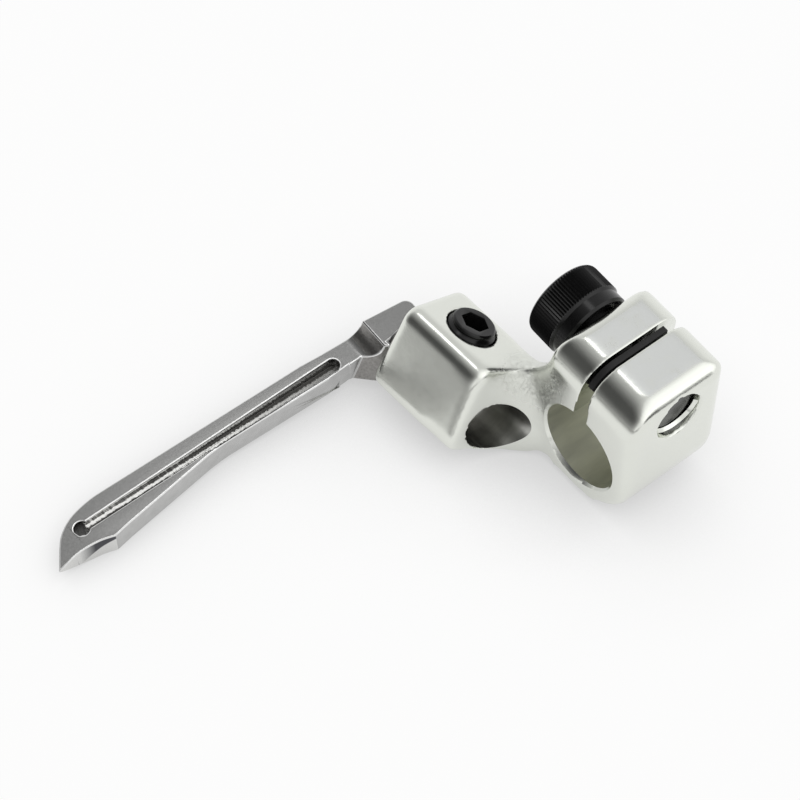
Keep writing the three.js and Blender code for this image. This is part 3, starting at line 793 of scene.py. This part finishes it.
def looper():
    """The looper, its groove, heel and point finished as ground, and every corner of it broken by a fine
    bevel that catches the light and is painted pale as a highlight."""
    broken_edge = 0.17 * MM
    piece = copy_of("looper", "looper_blade")
    apply_modifier(piece, "DECIMATE", decimate_type="DISSOLVE", angle_limit=math.radians(1.5))
    put_in(piece, groove_ramp(piece))
    cut_away(piece, flank_cutter())
    round_heel(piece)
    put_material(piece, ground_steel(), polished_steel(), rough_steel(), groove_floor(),
                 burnished_edge(), hollow_ground_steel())
    apply_modifier(piece, "BEVEL", limit_method="ANGLE", angle_limit=math.radians(32),
                   width=broken_edge, segments=2, use_clamp_overlap=False, material=BURNISHED)
    smooth_shade(piece, 32)
    apply_modifier(piece, "WEIGHTED_NORMAL", keep_sharp=True)
    top = blade_top(piece)
    for face in piece.data.polygons:
        face.material_index = steel_at(face, top)
    finish_piece(piece, "looper", "looper_steel", "looper")


def hex_hole(name, flats, depth, mouth, axis):
    """A cutter for a hexagon socket with a drilled cone at its bottom."""
    corner = flats / math.sqrt(3)
    cone = corner * 0.3
    profile = [(cone, -depth - cone), (corner, -depth), (corner, depth)]
    return placed(turned(name, profile, 6), mouth, axis)


def clamp_screw():
    """M6 socket head cap screw: fine straight knurl over a plain collar, rolled with the head."""
    low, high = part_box("clamp_screw")
    seat = Vector((low.x + HEAD_HEIGHT, clamp_seat.y, clamp_seat.z))
    mouth = Vector((low.x, seat.y, seat.z))
    length = high.x - seat.x
    key, key_depth = 5.0 * MM, 3.0 * MM
    tip_chamfer, collar_chamfer = 0.5 * MM, 0.3 * MM
    collar = HEAD_RADIUS - 0.25 * MM
    rim, rim_steps = 0.75 * MM, 5
    ribs, rib_depth, rib_margin = 80, 0.17 * MM, 0.1 * MM
    knurl_start, knurl_end = 1.95 * MM, HEAD_HEIGHT - rim
    ribs_start, ribs_end = knurl_start + rib_margin, knurl_end + rim * 0.4
    profile = [
        (SCREW_RADIUS - tip_chamfer, -length),
        (SCREW_RADIUS, tip_chamfer - length),
        (SCREW_RADIUS, 0),
        (collar - collar_chamfer, 0),
        (collar, collar_chamfer),
        (collar, knurl_start - collar_chamfer),
        (HEAD_RADIUS, knurl_start),
        (HEAD_RADIUS, knurl_start + rib_margin * 1.5),
        (HEAD_RADIUS, knurl_end),
    ]
    for step in range(1, rim_steps + 1):
        angle = step * math.pi / (2 * rim_steps)
        profile.append((HEAD_RADIUS - rim * (1 - math.cos(angle)), knurl_end + rim * math.sin(angle)))
    piece = turned("clamp_screw_m6", profile, ribs * 2)

    def between_ribs(vertex):
        side = round(math.atan2(vertex.co.y, vertex.co.x) / math.pi * ribs)
        return ribs_start < vertex.co.z < ribs_end and side % 2 == 1

    open_corners(piece, between_ribs)
    share = 1 - rib_depth / HEAD_RADIUS
    bpy.ops.transform.resize(value=(share, share, 1), center_override=(0, 0, 0))
    placed(piece, seat, -X)
    cut_away(piece, hex_hole("key", key, key_depth, mouth, -X))
    smooth_shade(piece, 20)
    put_material(piece, black_oxide())
    finish_piece(piece, "clamp_screw", "black_steel", "clamp_screw")


def set_screw():
    """M6 socket set screw: the last turn of its thread and its chamfered end stand out of the boss."""
    key, key_depth = 3.0 * MM, 2.4 * MM
    broken_edge = 0.07 * MM
    # Each corner of its outline, from the foot up: in from the crest and down from the top, in mm
    outline = [(0.5, 5.9), (0.0, 5.4), (0.0, 1.15), (0.06, 0.98), (0.5, 0.72), (0.5, 0.62),
               (0.3, 0.42), (0.34, 0.16), (0.55, 0.0)]
    profile = [(SCREW_RADIUS - inward * MM, SET_SCREW_RISE - down * MM) for inward, down in outline]
    piece = placed(turned("set_screw_m6", profile, 96), set_foot, out_of_boss)
    mouth = set_foot + out_of_boss * SET_SCREW_RISE
    cut_away(piece, hex_hole("key", key, key_depth, mouth, out_of_boss))
    apply_modifier(piece, "BEVEL", limit_method="ANGLE", angle_limit=math.radians(40),
                   width=broken_edge, segments=2)
    smooth_shade(piece, 35)
    put_material(piece, black_oxide())
    finish_piece(piece, "set_screw", "black_steel", "set_screw")


def shim():
    """The plate in the slot, its edges a little broken."""
    broken_edge = 0.06 * MM
    piece = copy_of("slot_shim", "slot_shim_plate")
    apply_modifier(piece, "DECIMATE", decimate_type="DISSOLVE", angle_limit=math.radians(1.0))
    apply_modifier(piece, "BEVEL", limit_method="ANGLE", angle_limit=math.radians(40),
                   width=broken_edge, segments=2)
    smooth_shade(piece, 30)
    put_material(piece, black_fibre())
    finish_piece(piece, "holder", "black_fibre", "slot_shim")


# Camera, as in the photograph: a long lens high over the clamp's side
PHOTO_SIDE = 800
FOCAL_PIXELS = 2500
SENSOR_WIDTH = 36.0
CAMERA_TURNS = (47.0, 58.3, 5.0)     # azimuth, elevation and roll, in degrees
CAMERA_AIM = Vector((-16.269, -12.931, 1.902)) * MM     # from the bore's mouth
CAMERA_AWAY = 283.45 * MM


def camera():
    data = bpy.data.cameras.new("camera")
    data.sensor_width = SENSOR_WIDTH
    data.lens = SENSOR_WIDTH * FOCAL_PIXELS / PHOTO_SIDE
    data.clip_start = 0.01
    made = bpy.data.objects.new("camera", data)
    bpy.context.scene.collection.objects.link(made)
    azimuth, elevation, roll = (math.radians(degrees) for degrees in CAMERA_TURNS)
    turn = (Matrix.Rotation(azimuth, 4, "Z") @ Matrix.Rotation(math.pi / 2 - elevation, 4, "X")
            @ Matrix.Rotation(roll, 4, "Z"))
    place = bore_mouth + CAMERA_AIM + turn.to_3x3() @ Z * CAMERA_AWAY
    made.matrix_world = Matrix.Translation(place) @ turn
    bpy.context.scene.camera = made


# Light

def floor():
    """A white table. The camera and reflections see it mostly as a plain glow, which dims to grey
    where the object shuts out the sky, as its shadow, and for reflections in front, where the
    white sheet ends and the dark room begins."""
    side = 3.0
    glow_share = 0.92
    shadow_reach = 20 * MM
    sheet_end, sheet_start = -0.09, -0.025
    bpy.ops.object.select_all(action="DESELECT")
    bpy.ops.mesh.primitive_plane_add(size=side, location=(0, 0, 0))
    made = bpy.context.object
    made.name = "floor"
    paint, tree = new_material("white_table")
    path = add(tree, "ShaderNodeLightPath")
    seen = add(tree, "ShaderNodeMath", {0: path.outputs["Is Camera Ray"],
                                        1: path.outputs["Is Glossy Ray"]}, operation="MAXIMUM")
    share = add(tree, "ShaderNodeMath", {0: seen.outputs[0], 1: glow_share}, operation="MULTIPLY")
    open_sky = add(tree, "ShaderNodeAmbientOcclusion", {"Distance": shadow_reach}, samples=8)
    shaded = add(tree, "ShaderNodeMapRange", {"Value": open_sky.outputs["AO"], "From Min": 0.2,
                                              "From Max": 0.93, "To Min": 0.55, "To Max": 1.0})
    lit = add(tree, "ShaderNodeBsdfDiffuse", {"Color": colour("#F4F4F2")})
    place = add(tree, "ShaderNodeTexCoord").outputs["Object"]
    ahead = add(tree, "ShaderNodeSeparateXYZ", {0: place}).outputs["Y"]
    sheet = add(tree, "ShaderNodeMapRange", {"Value": ahead, "From Min": sheet_end,
                                             "From Max": sheet_start, "To Min": 0.35, "To Max": 1.0})
    strength = add(tree, "ShaderNodeMix", {"Factor": path.outputs["Is Glossy Ray"], 2: 1.0,
                                           3: sheet.outputs[0]}, data_type="FLOAT")
    dimmed = add(tree, "ShaderNodeMath", {0: strength.outputs[0], 1: shaded.outputs[0]},
                 operation="MULTIPLY")
    glow = add(tree, "ShaderNodeEmission", {"Color": colour("#FFFFFF"),
                                            "Strength": dimmed.outputs[0]})
    mixed = add(tree, "ShaderNodeMixShader", {0: share.outputs[0], 1: lit.outputs[0], 2: glow.outputs[0]})
    add(tree, "ShaderNodeOutputMaterial", {"Surface": mixed.outputs[0]})
    put_material(made, paint)


# The studio, by direction: its inner and outer angle in degrees, and the share of light there
STUDIO = [
    ((-0.36, -0.80, 0.48), 12, 60, 0.10),    # dark room in front on the left
    ((0.60, 0.34, 0.72), 16, 48, 1.85),      # window on the right
    ((0.92, 0.30, 0.10), 6, 17, 0.12),       # dark foot of the wall under it
]


def world():
    """A studio that the object's metal mirrors. The camera itself sees white."""
    made = bpy.data.worlds.new("studio")
    made.use_nodes = True
    tree = made.node_tree
    tree.nodes.clear()
    way = add(tree, "ShaderNodeTexCoord").outputs["Generated"]
    height = add(tree, "ShaderNodeSeparateXYZ", {0: way}).outputs["Z"]
    level = add(tree, "ShaderNodeMapRange", {"Value": height, "From Min": 0.2, "From Max": 0.7,
                                             "To Min": 0.95, "To Max": 0.72}).outputs[0]
    for aim, inner, outer, share in STUDIO:
        towards = add(tree, "ShaderNodeVectorMath", {0: way, 1: Vector(aim).normalized()},
                      operation="DOT_PRODUCT")
        patch = add(tree, "ShaderNodeMapRange", {
            "Value": towards.outputs["Value"], "From Min": math.cos(math.radians(outer)),
            "From Max": math.cos(math.radians(inner)), "To Min": 1.0, "To Max": share})
        level = add(tree, "ShaderNodeMath", {0: level, 1: patch.outputs[0]},
                    operation="MULTIPLY").outputs[0]
    path = add(tree, "ShaderNodeLightPath")
    room = add(tree, "ShaderNodeBackground", {"Color": colour("#FFFFFF"), "Strength": level})
    white = add(tree, "ShaderNodeBackground", {"Color": colour("#FFFFFF"), "Strength": 1.0})
    mixed = add(tree, "ShaderNodeMixShader", {0: path.outputs["Is Camera Ray"], 1: room.outputs[0],
                                              2: white.outputs[0]})
    add(tree, "ShaderNodeOutputWorld", {"Surface": mixed.outputs[0]})
    bpy.context.scene.world = made


def lamp(name, azimuth, elevation, size, strength, distance):
    """A square softbox aimed at the part, in degrees, metres and watts."""
    data = bpy.data.lights.new(name, "AREA")
    data.size = size
    data.energy = strength
    made = bpy.data.objects.new(name, data)
    bpy.context.scene.collection.objects.link(made)
    a, e = math.radians(azimuth), math.radians(elevation)
    back = Vector((math.sin(a) * math.cos(e), -math.cos(a) * math.cos(e), math.sin(e)))
    turn = back.to_track_quat("Z", "Y").to_matrix().to_4x4()
    made.matrix_world = Matrix.Translation(back * distance) @ turn


casting()
hole_thread()
looper()
clamp_screw()
set_screw()
shim()
camera()
floor()
world()
lamp("softbox", azimuth=-120.0, elevation=66.5, size=0.1, strength=0.06, distance=0.5)

bpy.context.scene.view_settings.view_transform = "Standard"
